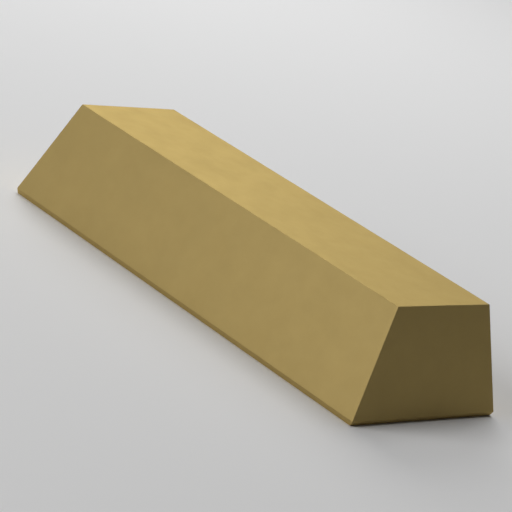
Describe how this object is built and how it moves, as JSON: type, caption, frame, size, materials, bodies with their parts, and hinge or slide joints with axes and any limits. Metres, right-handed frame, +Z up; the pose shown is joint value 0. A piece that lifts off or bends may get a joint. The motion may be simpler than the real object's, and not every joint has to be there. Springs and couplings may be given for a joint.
{
  "type": "metal ingot",
  "caption": "Cast metal ingot: a long solid bar with sides and ends that slope in to a narrow flat top, and a low lip round its wide flat underside, to store, stack and melt.",
  "frame": {"origin": "middle of the flat underside, the wide face that the ingot rests on", "axes": "+X along the ingot, +Y across it, +Z up from the underside to the narrow top face"},
  "size_m": [0.2156, 0.0818, 0.045],
  "materials": {
    "cast_metal": "matte"
  },
  "bodies": {
    "root": {"ingot": "cast_metal"}
  },
  "joints": []
}
